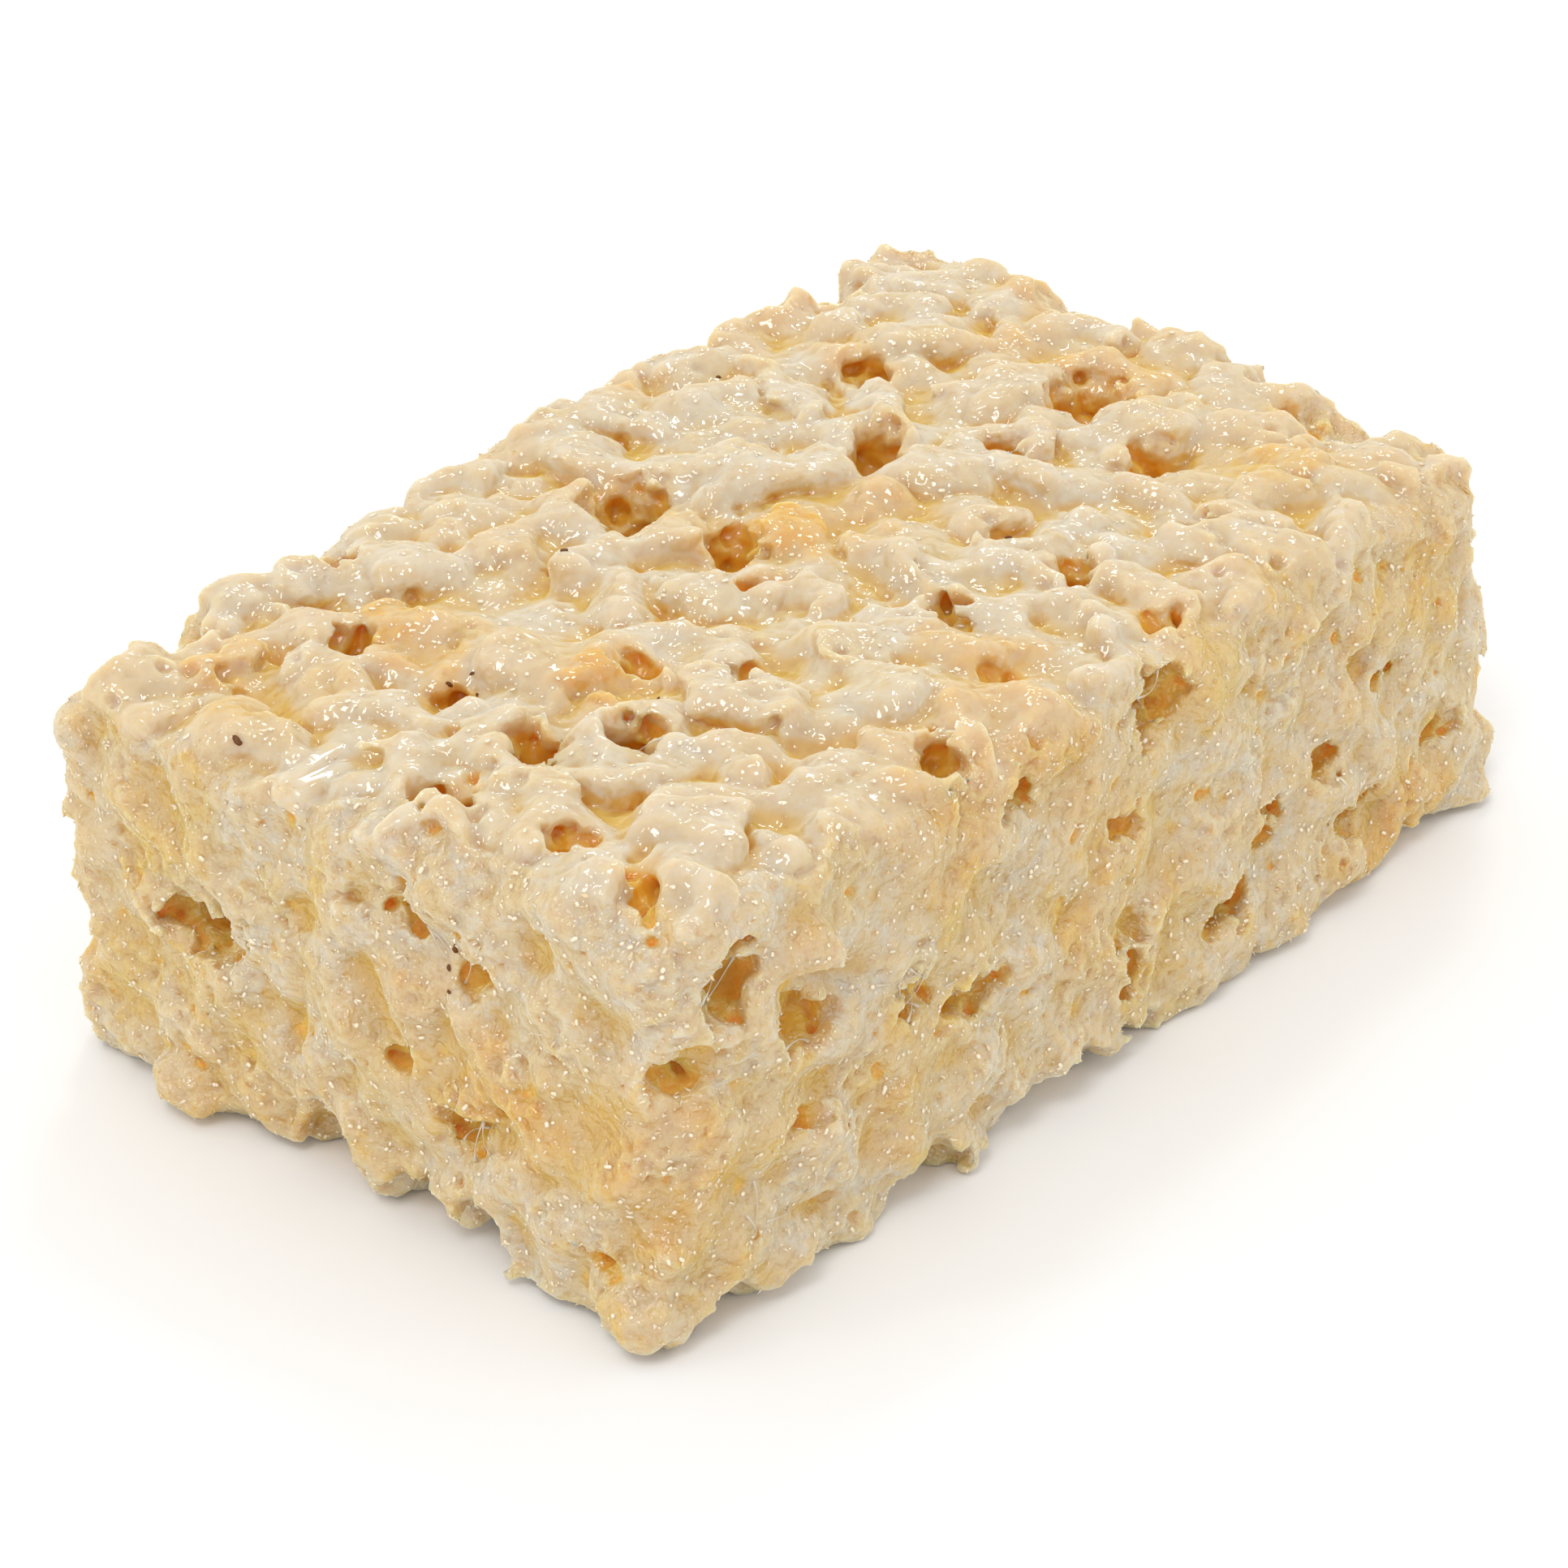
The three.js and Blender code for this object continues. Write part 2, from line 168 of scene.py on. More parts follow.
# Marshmallow threads drawn over hollows: (x, y, z, reach, how many).
THREADS = (
    (-21.8, -6, 22, 2.3, 3), (-30.2, -20.3, 17.4, 2.4, 2), (-25.3, -20.3, 13.4, 2.6, 2),
    (-19.2, -20.3, 11.7, 2.6, 7), (-14, -20.3, 11.6, 2.4, 5), (1.6, -20.3, 18.9, 2.8, 2),
    (-27.2, -20.3, 5.2, 2.4, 4), (-34.3, -6.2, 15.6, 2, 4), (-34.3, -7.2, 6.7, 2.2, 3), (8, 20.3, 12, 3, 4),
    (34.3, 2, 12, 3, 4),
)

# Smooth folds of glaze at the top's edge, each from one end of its crest to the other: (x, y, z, x, y, z).
GLAZE_FOLDS = (
    (-34.2, 3.5, 21.1, -29.6, 3.75, 21.38),
    (-34.1, 2.95, 20.98, -30.2, 2.5, 21.08),
)
FOLD_RADIUS = 0.8

# Scorched flecks: (x, y, z, length).
FLECKS = (
    (-33.5, 7.6, 22.3, 0.55), (-22.4, 3.6, 22, 0.38), (-21.5, 3.8, 22, 0.30), (-22, 3, 21.4, 0.26),
    (-10.3, 7, 22.5, 0.42), (11.6, 15.4, 22.5, 0.34), (6.5, -7.5, 22.5, 0.40), (-17, -4.2, 22.5, 0.30),
    (-34.3, -6.6, 16.4, 0.46), (-34.3, -6.3, 15.4, 0.38), (-34.3, -6.6, 14.4, 0.30),
)

# The camera, from the photograph's lines. Angles are in degrees.
AZIMUTH = -50.3
ELEVATION = 30.2
DISTANCE = 210.0
PAN = (-1.75, -3.35)
LENS = 93.17
SENSOR = 36
AIM_HEIGHT = 11.0

# The lamps, all square: (name, azimuth, elevation, side in millimetres, power in watts). The sky is even.
LAMPS = (
    ("key", -70, 58, 600, 8.3),
    ("back", 125, 50, 310, 4.0),
    ("side", -125, 32, 200, 1.9),
    ("window", 35, 35, 200, 0.6),
)
LAMP_DISTANCE = 2000
SKY = 0.98
FLOOR_REACH = 2000

# The noises that shape the bar: (wavelength, seed).
COARSE = (4.5, 11)
MIDDLE = (1.9, 12)
FINE = (1.0, 13)
WALLS = (1.5, 14)
PORES = (1.7, 15)
SMALL_PORES = (1.0, 17)
CRUMBLE = (0.65, 16)
BASE_PITS = (2.6, 18)
WARPS = ((5.0, 21), (5.0, 22), (5.0, 23))

# The marshmallow: the fillet between grains, the coat on them and the web between them.
GRAIN_FILLET = 0.11
COAT, CUT_COAT = 0.25, 0.1  # how thick it is on the top, and how much thinner where the bar is cut
WEB_DEPTH, CUT_WEB = 1.0, 0.75  # how deep it lies on the top, and how much less deep where the bar is cut
HEART_DEPTH = 5.2  # the bar is full below this depth

# The underside: its height over the floor, how far its web stands back and how deep its pits are.
BASE_HEIGHT, BASE_WEB, BASE_PIT = 0.07, 0.45, 1.3
BASE_LEVEL = 0.6  # the height at which the grains shape it

# The bubbles that are drawn, of which a few lie in the glaze, and their least and largest radius.
BUBBLES = 2600
BUBBLE_RADII = (0.28, 0.6)

# The crumbs' and the beads' sizes. Nothing is scattered below the clearance over the floor.
CRUMB_LENGTHS = (0.06, 0.2)
CRUMB_SHAPE = (1.2, 0.55, 0.3)
BEAD_WIDTH, BEAD_SPREAD = 0.045, 0.1
FLOOR_CLEARANCE = 0.5

# The threads' least and largest radius, and how much wider they are at their ends.
THREAD_RADII = (0.014, 0.032)
THREAD_FOOT = 0.08

# How often the thinned skin's folded triangles are smoothed.
UNFOLDING_ROUNDS = 30

# Plain colours.
SUGAR = (0.88, 0.76, 0.53)
SCORCHED = (0.15, 0.06, 0.015)


def make_draw(seed):
    """A seeded draw from low to high: its share is s / 2^32, where s' = (1664525 s + 1013904223) mod 2^32."""
    state = seed

    def draw(low, high):
        nonlocal state
        state = (state * 1664525 + 1013904223) % 4294967296
        return low + (high - low) * state / 4294967296

    return draw


def smooth_step(low, high, value):
    """0 below low, 1 above high, and 3t^2 - 2t^3 between them."""
    t = np.clip((value - low) / (high - low), 0, 1)
    return t * t * (3 - 2 * t)


def soft_min(a, b, softness):
    """The smaller of two fields, with a fillet: min(a, b) - h^2 k / 4, where h = max(k - |a - b|, 0) / k."""
    h = np.maximum(softness - np.abs(a - b), 0) / softness
    return np.minimum(a, b) - h * h * softness / 4


def soft_max(a, b, softness):
    """The larger of two fields, with its corner rounded off: the soft minimum of their negatives, negated."""
    return -soft_min(-a, -b, softness)


def corner_shift(x, y, z):
    """How far a point is moved: each corner's shift times the product of its shares, and the sides' bow."""
    along = (x / LENGTH + 0.5, y / WIDTH + 0.5, z / HEIGHT)
    moved = [0, 0, 0]
    for *corner, dx, dy, dz in CORNER_SHIFTS:
        share = math.prod(a if side > 0 else 1 - a for side, a in zip(corner, along))
        moved = [m + share * s for m, s in zip(moved, (dx, dy, dz))]
    moved[1] = moved[1] + BOW * (1 - (2 * along[0] - 1) ** 2) * (2 * along[1] - 1)
    return moved


class Voxels:
    """A box of cubic cells round the bar, in millimetres, on which the bar's fields are worked out."""

    def __init__(self, low, high, cell):
        self.cell = cell
        self.low = np.array(low, dtype=float)
        counts = np.ceil((np.array(high) - self.low) / cell).astype(int) + 1
        self.shape = tuple(int(n) for n in counts)

    def places(self, window=(slice(None),) * 3):
        """The x, y and z of the cells in a window, as three arrays that broadcast together."""
        axes = [low + self.cell * np.arange(n) for low, n in zip(self.low, self.shape)]
        axes = [axis.astype(np.float32)[cells] for axis, cells in zip(axes, window)]
        return np.meshgrid(*axes, indexing="ij", sparse=True)

    def near(self, centre, reach):
        """The slices of cells within reach of centre on each axis, and the x, y and z of those cells."""
        first = np.floor((centre - reach - self.low) / self.cell).astype(int)
        last = np.ceil((centre + reach - self.low) / self.cell).astype(int) + 1
        window = tuple(slice(max(a, 0), max(min(b, n), 0)) for a, b, n in zip(first, last, self.shape))
        return window, self.places(window)

    def frequencies(self):
        """The spatial frequency of every term of a real Fourier transform, in cycles a millimetre."""
        nx, ny, nz = self.shape
        terms = (np.fft.fftfreq(nx), np.fft.fftfreq(ny), np.fft.rfftfreq(nz))
        fx, fy, fz = np.meshgrid(*terms, indexing="ij", sparse=True)
        return np.sqrt(fx**2 + fy**2 + fz**2) / self.cell

    def noise(self, wavelength, seed):
        """A field of spread 1: white noise, each frequency f weighted by exp(-((f w - 1) / 0.35)^2 / 2)."""
        white = np.random.default_rng(seed).standard_normal(self.shape, dtype=np.float32)
        weight = np.exp(-0.5 * ((self.frequencies() * wavelength - 1) / 0.35) ** 2)
        field = np.fft.irfftn(np.fft.rfftn(white) * weight, s=self.shape)
        return (field / field.std()).astype(np.float32)

    def blurred(self, field, spread):
        """The field averaged under a bell of that spread: each frequency f times exp(-2 (pi f s)^2)."""
        weight = np.exp(-2 * (math.pi * self.frequencies() * spread) ** 2)
        return np.fft.irfftn(np.fft.rfftn(field) * weight, s=self.shape).astype(np.float32)

    def sample(self, field, points):
        """The field at points in millimetres, blended from the eight cells round each."""
        spot = (points - self.low) / self.cell
        spot = np.clip(spot, 0, np.array(self.shape) - 1.001)
        first = np.floor(spot).astype(int)
        share = spot - first
        total = np.zeros(len(points))
        for corner in np.ndindex(2, 2, 2):
            weight = np.prod(np.where(corner, share, 1 - share), axis=1)
            total += weight * field[tuple((first + corner).T)]
        return total


def ellipsoid_distance(x, y, z, centre, turn, lean, halves):
    """Distance to an ellipsoid, near enough: k (k - 1) / m, where k = |p / halves| and m = |p / halves^2|."""
    dx, dy, dz = x - centre[0], y - centre[1], z - centre[2]
    flat = dx * math.cos(turn) + dy * math.sin(turn)
    p = (
        flat * math.cos(lean) + dz * math.sin(lean),
        dy * math.cos(turn) - dx * math.sin(turn),
        dz * math.cos(lean) - flat * math.sin(lean),
    )
    k0 = np.sqrt(sum((q / h) ** 2 for q, h in zip(p, halves)))
    k1 = np.sqrt(sum((q / h**2) ** 2 for q, h in zip(p, halves))) + 1e-6
    return k0 * (k0 - 1) / k1


def covered_by_chief(x, y):
    """Whether a place in plan lies under a chief grain."""
    for chief_x, chief_y, _, half_length, half_breadth, _, turn, *_ in CHIEF_GRAINS:
        angle = math.radians(turn)
        dx, dy = x - chief_x, y - chief_y
        along = dx * math.cos(angle) + dy * math.sin(angle)
        across = dy * math.cos(angle) - dx * math.sin(angle)
        along /= half_length + CHIEF_CLEARANCE * GRAIN_HALF[0]
        across /= half_breadth + CHIEF_CLEARANCE * GRAIN_HALF[1]
        if math.hypot(along, across) < 1:
            return True
    return False


def drawn_grains():
    """Every grain of the heap, layer by layer from the base: (centre, turn, lean, halves, toast)."""
    draw = make_draw(SEED)
    toasting = make_draw(SEED + 1)
    grains = []
    pitch = (LENGTH / COLUMNS, WIDTH / ROWS, (HEIGHT - TOP_LAYER_DEPTH) / (LAYERS - 0.5))
    for layer in range(LAYERS):
        for row in range(ROWS):
            for column in range(COLUMNS):
                on_top = layer == LAYERS - 1
                stagger = 0.25 if (row + layer) % 2 else -0.25
                x = (column + 0.5 + stagger + draw(-JITTER, JITTER)) * pitch[0] - LENGTH / 2
                y = (row + 0.5 + draw(-JITTER, JITTER)) * pitch[1] - WIDTH / 2
                in_layer = draw(-JITTER, JITTER)
                drop = draw(0, TOP_LAYER_DROP)
                z = HEIGHT - TOP_LAYER_DEPTH - drop if on_top else (layer + 0.5 + in_layer) * pitch[2]
                size = 1 + draw(-GRAIN_SPREAD, GRAIN_SPREAD)
                turn = draw(0, math.pi)
                tilt = FLAT_TILT if on_top else LOOSE_TILT
                lean = draw(-tilt, tilt)
                toast = toasting(0, 1) ** 3
                if on_top and covered_by_chief(x, y):
                    continue
                centre = np.array([x, y, z]) + corner_shift(x, y, z)
                stretch = TOP_STRETCH if on_top else (1, 1, 1)
                halves = [h * size * s for h, s in zip(GRAIN_HALF, stretch)]
                grains.append((centre, turn, lean, halves, toast))
    return grains


def chief_grains():
    """The grains that stand out on the top, in the same form as the drawn ones."""
    grains = []
    for x, y, rise, *halves, turn, lean, toast in CHIEF_GRAINS:
        centre = np.array([x, y, HEIGHT + rise]) + corner_shift(x, y, HEIGHT + rise)
        grains.append((centre, math.radians(turn), math.radians(lean), halves, toast))
    return grains


def pits():
    """The pits of the top and the holes of the cut sides: (centre, turn, halves)."""
    top = [((x, y, HEIGHT), PIT_TURN, (a / 2, b / 2, depth)) for x, y, a, b, depth in TOP_PITS]
    long = [((x, -WIDTH / 2, z), 0, (a / 2, SIDE_DEPTH * d, b / 2)) for x, z, a, b, d in LONG_SIDE_HOLES]
    short = [((-LENGTH / 2, y, z), 0, (SIDE_DEPTH * d, a / 2, b / 2)) for y, z, a, b, d in SHORT_SIDE_HOLES]
    return [(shifted(centre), turn, halves) for centre, turn, halves in top + long + short]


def block_fields(voxels):
    """The signed distance to the bar's outer form, below 0 inside, and how far a place is on a cut side.

    The distance is |max(|p| - s, 0)| + min(max(|p| - s), 0) - r for a block of half size s + r.
    """
    x, y, z = voxels.places()
    dx, dy, dz = corner_shift(x, y, z)
    x, y, z = x - dx, y - dy, z - dz
    turns = 2 * math.pi / RIPPLE_LENGTH
    ripple = RIPPLE * np.sin(turns * (x + z)) * np.cos(turns * (y - z))
    rim = RIM_INSET * np.clip(1 - np.maximum(z, 0) / RIM_HEIGHT, 0, None) ** 2
    gaps = [
        np.abs(x) - (LENGTH / 2 - EDGE_RADIUS),
        np.abs(y) - (WIDTH / 2 - EDGE_RADIUS),
        np.abs(z - (HEIGHT - BELOW_BASE) / 2) - ((HEIGHT + BELOW_BASE) / 2 - EDGE_RADIUS),
    ]
    outside = np.sqrt(sum(np.maximum(g, 0) ** 2 for g in gaps))
    inside = np.minimum(np.maximum(np.maximum(gaps[0], gaps[1]), gaps[2]), 0)
    distance = outside + inside - EDGE_RADIUS + ripple + rim + SURFACE_INSET
    below_top = HEIGHT - z
    below_side = np.minimum(LENGTH / 2 - np.abs(x), WIDTH / 2 - np.abs(y))
    return distance.astype(np.float32), (below_top - below_side).astype(np.float32)


def shifted(place):
    """A place of the straight block, moved as the block's corners are."""
    return np.array(place) + corner_shift(*place)


def joined_grains(voxels, softness):
    """All the grains, bent by slow noise, as one field, -k ln(sum of exp(-d / k)), and how toasted it is."""
    warp = [0.5 * voxels.noise(*noise) for noise in WARPS]
    total = np.full(voxels.shape, 1e-6, dtype=np.float32)
    toasted = np.zeros(voxels.shape, dtype=np.float32)
    for centre, turn, lean, halves, toast in drawn_grains() + chief_grains():
        window, places = voxels.near(centre, max(halves) + 1.6)
        bent = [place + shift[window] for place, shift in zip(places, warp)]
        share = np.exp(-np.clip(ellipsoid_distance(*bent, centre, turn, lean, halves), -2, 4) / softness)
        total[window] += share
        toasted[window] += share * toast
    return -softness * np.log(total), toasted / total


def fold_distance(x, y, z, line):
    """Distance to a fold of glaze, a rod below its crest: max(|p - axis| - radius, |t| - length / 2)."""
    start, end = np.array(line[:3]), np.array(line[3:])
    length = math.dist(start, end)
    along = (end - start) / length
    up = np.array([0, 0, 1]) - along[2] * along
    dx, dy, dz = (q - c for q, c in zip((x, y, z), (start + end) / 2 - FOLD_RADIUS * up))
    t = dx * along[0] + dy * along[1] + dz * along[2]
    across = np.sqrt(np.maximum(dx**2 + dy**2 + dz**2 - t**2, 0)) - FOLD_RADIUS
    return soft_max(across, np.abs(t) - length / 2, 0.8)


def lump(voxels, row, reach):
    """The cells within reach of an ellipsoid (x, y, z, its lengths in x, y and z), and the distance to it."""
    centre = shifted(row[:3])
    window, places = voxels.near(centre, reach)
    return window, ellipsoid_distance(*places, centre, 0.0, 0.0, [size / 2 for size in row[3:]])


def bubbles(voxels, body, cut):
    """Cuts small bubbles, |p - centre| < radius, into the glaze where a drawn centre is close to the skin."""
    random = np.random.default_rng(31)
    low, high = (-LENGTH / 2, -WIDTH / 2, HEIGHT - 5), (LENGTH / 2, WIDTH / 2, HEIGHT + 1)
    last = np.array(voxels.shape) - 1
    for centre in random.uniform(low, high, (BUBBLES, 3)):
        radius = random.uniform(*BUBBLE_RADII)
        cell = tuple(np.clip(((centre - voxels.low) / voxels.cell).astype(int), 0, last))
        if not -0.12 < body[cell] < 0.35 or cut[cell] > 0.6:
            continue
        window, (x, y, z) = voxels.near(centre, radius + 0.6)
        away = np.sqrt((x - centre[0]) ** 2 + (y - centre[1]) ** 2 + (z - centre[2]) ** 2) - radius
        body[window] = soft_max(body[window], -away, 0.12)


def bar_fields(sizes):
    """The bar as a field that is below 0 inside it, with the fields that its colours follow."""
    # The box leaves room for the corners and grains that stand out of the straight block.
    reach = (LENGTH / 2 + 2.6, WIDTH / 2 + 3.2, HEIGHT + 2.0)
    voxels = Voxels((-reach[0], -reach[1], -1.0), reach, sizes.cell / MM)
    outer, to_side = block_fields(voxels)
    z = voxels.places()[2]
    coarse, middle, fine, walls = (voxels.noise(*noise) for noise in (COARSE, MIDDLE, FINE, WALLS))
    cut = smooth_step(-0.4, 1.4, to_side + 0.8 * coarse)

    # The marshmallow: a coat on the grains and a web between them, nearer the surface on the cut sides.
    grains, toasted = joined_grains(voxels, GRAIN_FILLET)
    coat = COAT - CUT_COAT * cut + 0.05 * middle
    web_depth = WEB_DEPTH + 0.33 * coarse - CUT_WEB * cut
    body = soft_min(grains - coat, outer + web_depth, 0.25 + 0.5 * cut)
    body = np.minimum(body, outer + HEART_DEPTH)

    # The cut sides are torn: uneven, with broken cells whose walls stand up as thin ridges.
    torn = outer + cut * (0.2 * coarse + 0.07 * middle + 0.12 * np.abs(walls) + 0.08 * np.abs(fine) - 0.13)
    torn = torn - 0.35 * (1 - cut)
    body = soft_max(body, torn, 0.2 + 0.4 * (1 - cut))
    # Pores narrow inward, so that none is a pocket under a thin skin.
    inward = np.minimum(outer, 0)
    pores = ((voxels.noise(*PORES) - 1.8 + 0.45 * coarse) * 0.5 + 0.9 * inward) * cut - 2 * (1 - cut)
    small_pores = ((voxels.noise(*SMALL_PORES) - 2.0) * 0.3 + 0.7 * inward) * cut - 2 * (1 - cut)
    body = soft_max(soft_max(body, pores, 0.25), small_pores, 0.15)
    body = body + cut * 0.035 * voxels.noise(*CRUMBLE) + (1 - cut) * 0.04 * fine
    bubbles(voxels, body, cut)
    for line in GLAZE_FOLDS:
        window, places = voxels.near((np.array(line[:3]) + line[3:]) / 2, 4.5)
        body[window] = soft_min(body[window], fold_distance(*places, line), 0.12)

    # Dents and swellings of the edges.
    for row in EDGE_SWELLS:
        window, swell = lump(voxels, row, row[3] + 1.5)
        body[window] = soft_min(body[window], swell + 0.15 * middle[window], 0.8)
    for row in EDGE_DENTS:
        window, dent = lump(voxels, row, max(row[3:]) / 2 + 1.5)
        body[window] = soft_max(body[window], 0.2 * middle[window] - dent, 0.5)

    # Pits and holes, with uneven walls.
    pitted = np.maximum(smooth_step(-0.35, 0.1, pores), smooth_step(-0.25, 0.1, small_pores))
    for centre, turn, halves in pits():
        window, places = voxels.near(centre, max(halves) + 1.5)
        pit = ellipsoid_distance(*places, centre, turn, 0.0, halves)
        pit = pit + 0.3 * middle[window] + 0.12 * fine[window]
        body[window] = soft_max(body[window], 0.1 - pit, 0.25)
        in_pit = (1 - smooth_step(0.0, 0.9, pit)) * smooth_step(-1.0, 1.8, -outer[window])
        pitted[window] = np.maximum(pitted[window], in_pit)

    # The underside was pressed flat. The web between its grains stands back, and it has pits of its own.
    level = round((BASE_LEVEL - voxels.low[2]) / voxels.cell)
    between = smooth_step(0.1, 0.9, (grains - coat)[:, :, level])
    cells = smooth_step(1.7, 3.0, (voxels.noise(*BASE_PITS) + 0.8 * coarse)[:, :, level])
    rise = BASE_HEIGHT + 0.05 * np.tanh(coarse[:, :, level]) + BASE_WEB * between + BASE_PIT * cells
    body = soft_max(body, rise[:, :, None] - z, 0.4)
    pitted = np.maximum(pitted, 0.7 * cells[:, :, None] * (1 - smooth_step(1.4, 2.4, z)))
    occupied = (body < 0).astype(np.float32)
    # hollow and sunken measure how enclosed each place is, and pit measures how far it lies in a pit or pore.
    # The finish paints shade into the hollows from them.
    marks = {
        "hollow": voxels.blurred(occupied, 0.8),
        "sunken": voxels.blurred(occupied, 2.0),
        "toast": toasted,
        "cut": cut,
        "pit": pitted,
    }
    return voxels, body, marks


def sleek(points):
    """1 on the folds of glaze, where nothing roughens the skin, and 0 away from them."""
    away = np.minimum.reduce([fold_distance(*points.T, line) for line in GLAZE_FOLDS])
    return 1 - smooth_step(0.05, 0.4, away)


def patched(points):
    """How toasted and how yellow the patches make each point: the most of strength * exp(-(d / radius)^2)."""
    found = np.zeros((2, len(points)))
    for *place, radius, toasted, yellowed in PATCHES:
        away = np.linalg.norm(points - shifted(place), axis=1)
        found = np.maximum(found, np.exp(-((away / radius) ** 2)) * np.array([[toasted], [yellowed]]))
    return found


def largest_shell(points, quads):
    """The points and quads of the largest connected surface. Labels spread as the least label of a quad."""
    label = np.arange(len(points))
    while True:
        least = label[quads].min(axis=1)
        spread = label.copy()
        np.minimum.at(spread, quads.ravel(), np.repeat(least, 4))
        spread = spread[spread]
        if (spread == label).all():
            break
        label = spread
    names, counts = np.unique(label, return_counts=True)
    keep = label == names[counts.argmax()]
    order = np.cumsum(keep) - 1
    return points[keep], order[quads[keep[quads[:, 0]]]]


def linked(name, data):
    """A new object of that data, in the scene."""
    obj = bpy.data.objects.new(name, data)
    bpy.context.collection.objects.link(obj)
    return obj


def mesh_object(name, points, faces):
    """A new mesh object from points in millimetres and faces."""
    mesh = bpy.data.meshes.new(name)
    mesh.from_pydata(((points + FRAME_SHIFT) * MM).tolist(), [], faces.tolist())
    return linked(name, mesh)


def thin(obj, triangles):
    """Collapses the edges of the object's mesh until about that many triangles are left."""
    now = len(obj.data.loops) - 2 * len(obj.data.polygons)
    modifier = obj.modifiers.new("thin", "DECIMATE")
    modifier.ratio = min(1.0, triangles / now)
    evaluated = obj.evaluated_get(bpy.context.evaluated_depsgraph_get())
    mesh = bpy.data.meshes.new_from_object(evaluated)
    obj.modifiers.clear()
    obj.data = mesh


def unfolded(points, corners):
    """The points, with those of folded triangles moved to the mean of their neighbours, again and again.

    A triangle is folded where its normal turns away from the mean normal at one of its points.
    """
    ends = np.concatenate([corners[:, [0, 1]], corners[:, [1, 2]], corners[:, [2, 0]]])
    around = np.bincount(ends[:, 0], minlength=len(points))[:, None]
    count = len(points)
    for _ in range(UNFOLDING_ROUNDS):
        a, b, c = points[corners].transpose(1, 0, 2)
        normals = np.cross(b - a, c - a)
        mean = np.stack([np.bincount(corners.ravel(), np.repeat(n, 3), count) for n in normals.T], axis=1)
        folded = (np.einsum("tij,tj->ti", mean[corners], normals) < 0).any(axis=1)
        if not folded.any():
            break
        total = np.stack([np.bincount(ends[:, 0], p, count) for p in points[ends[:, 1]].T], axis=1)
        moved = np.unique(corners[folded])
        points[moved] = (total / around)[moved]
    return points


def smoothed(obj):
    """The piece, shaded smoothly."""
    obj.data.polygons.foreach_set("use_smooth", np.ones(len(obj.data.polygons), dtype=bool))
    return obj


def set_mark(mesh, name, values):
    """Stores one number for each point of the mesh."""
    mark = mesh.attributes.new(name, "FLOAT", "POINT")
    mark.data.foreach_set("value", np.asarray(values, dtype=np.float32))


def read(items, name, width=3, kind=np.float32):
    """What a list of the mesh's parts says under that name, as one row for each part."""
    values = np.empty(len(items) * width, dtype=kind)
    items.foreach_get(name, values)
    return values.reshape(-1, width)


def points_of(mesh):
    """The mesh's points in millimetres."""
    return read(mesh.vertices, "co") / MM - FRAME_SHIFT


def triangles_of(mesh):
    """The corners of the mesh's triangles."""
    mesh.calc_loop_triangles()
    return read(mesh.loop_triangles, "vertices", kind=np.int32)


def normals_of(mesh):
    """The mesh's normals at its points."""
    return read(mesh.vertices, "normal")


def numbers(mesh, name):
    """The numbers stored at the mesh's points under that name."""
    return read(mesh.attributes[name].data, "value", 1)[:, 0]


def unit(vectors):
    """The vectors, each made one long: v / |v|."""
    return vectors / np.linalg.norm(vectors, axis=-1, keepdims=True)


def scattered(mesh, weights, count, random):
    """Random spots clear of the floor, and the normals there. A triangle's chance is area times weight."""
    corners = triangles_of(mesh)
    a, b, c = points_of(mesh)[corners].transpose(1, 0, 2)
    normals = np.cross(b - a, c - a)
    areas = np.linalg.norm(normals, axis=1)
    chance = areas * weights[corners].mean(axis=1)
    picked = random.choice(len(corners), count, p=chance / chance.sum())
    u, v = np.sort(random.random((2, count, 1)), axis=0)
    spots = u * a[picked] + (v - u) * b[picked] + (1 - v) * c[picked]
    normals = normals[picked] / (areas[picked, None] + 1e-9)
    clear = spots[:, 2] > FLOOR_CLEARANCE
    return spots[clear], normals[clear]


def frames_along(axes, random):
    """Three crossing directions for each axis: the axis itself and two random ones square to it."""
    across = unit(np.cross(axes, random.standard_normal(axes.shape)))
    return np.stack([axes, across, np.cross(axes, across)], axis=1)


def as_one(shapes, faces):
    """Many shapes with the same faces as one mesh: the faces of shape n count on from n times its points."""
    every = faces + shapes.shape[1] * np.arange(len(shapes))[:, None, None]
    return shapes.reshape(-1, 3), every.reshape(-1, faces.shape[1])


def copies(points, faces, spots, frames, sizes):
    """Many small shapes as one mesh: spot + the sum of each coordinate times its size and its direction."""
    return as_one(spots[:, None] + np.einsum("npk,nk,nkd->npd", points, sizes, frames), faces)


OCTAHEDRON = (
    np.array([(1, 0, 0), (-1, 0, 0), (0, 1, 0), (0, -1, 0), (0, 0, 1), (0, 0, -1)], dtype=float),
    np.array([(0, 2, 4), (2, 1, 4), (1, 3, 4), (3, 0, 4), (2, 0, 5), (1, 2, 5), (3, 1, 5), (0, 3, 5)]),
)


def closed_faces(rings, around):
    """The triangles of rings of points, closed by a point at each end: first the start, last the end."""
    step = np.arange(around)
    after = (step + 1) % around
    ring = 1 + around * np.arange(rings - 1)[:, None]
    first = np.stack([0 * step, 1 + step, 1 + after], axis=-1)
    near = np.stack([ring + step, ring + around + step, ring + after], axis=-1)
    far = np.stack([ring + after, ring + around + step, ring + around + after], axis=-1)
    low = 1 + around * (rings - 1)
    last = np.stack([0 * step + low + around, low + after, low + step], axis=-1)
    return np.concatenate([first, near.reshape(-1, 3), far.reshape(-1, 3), last])


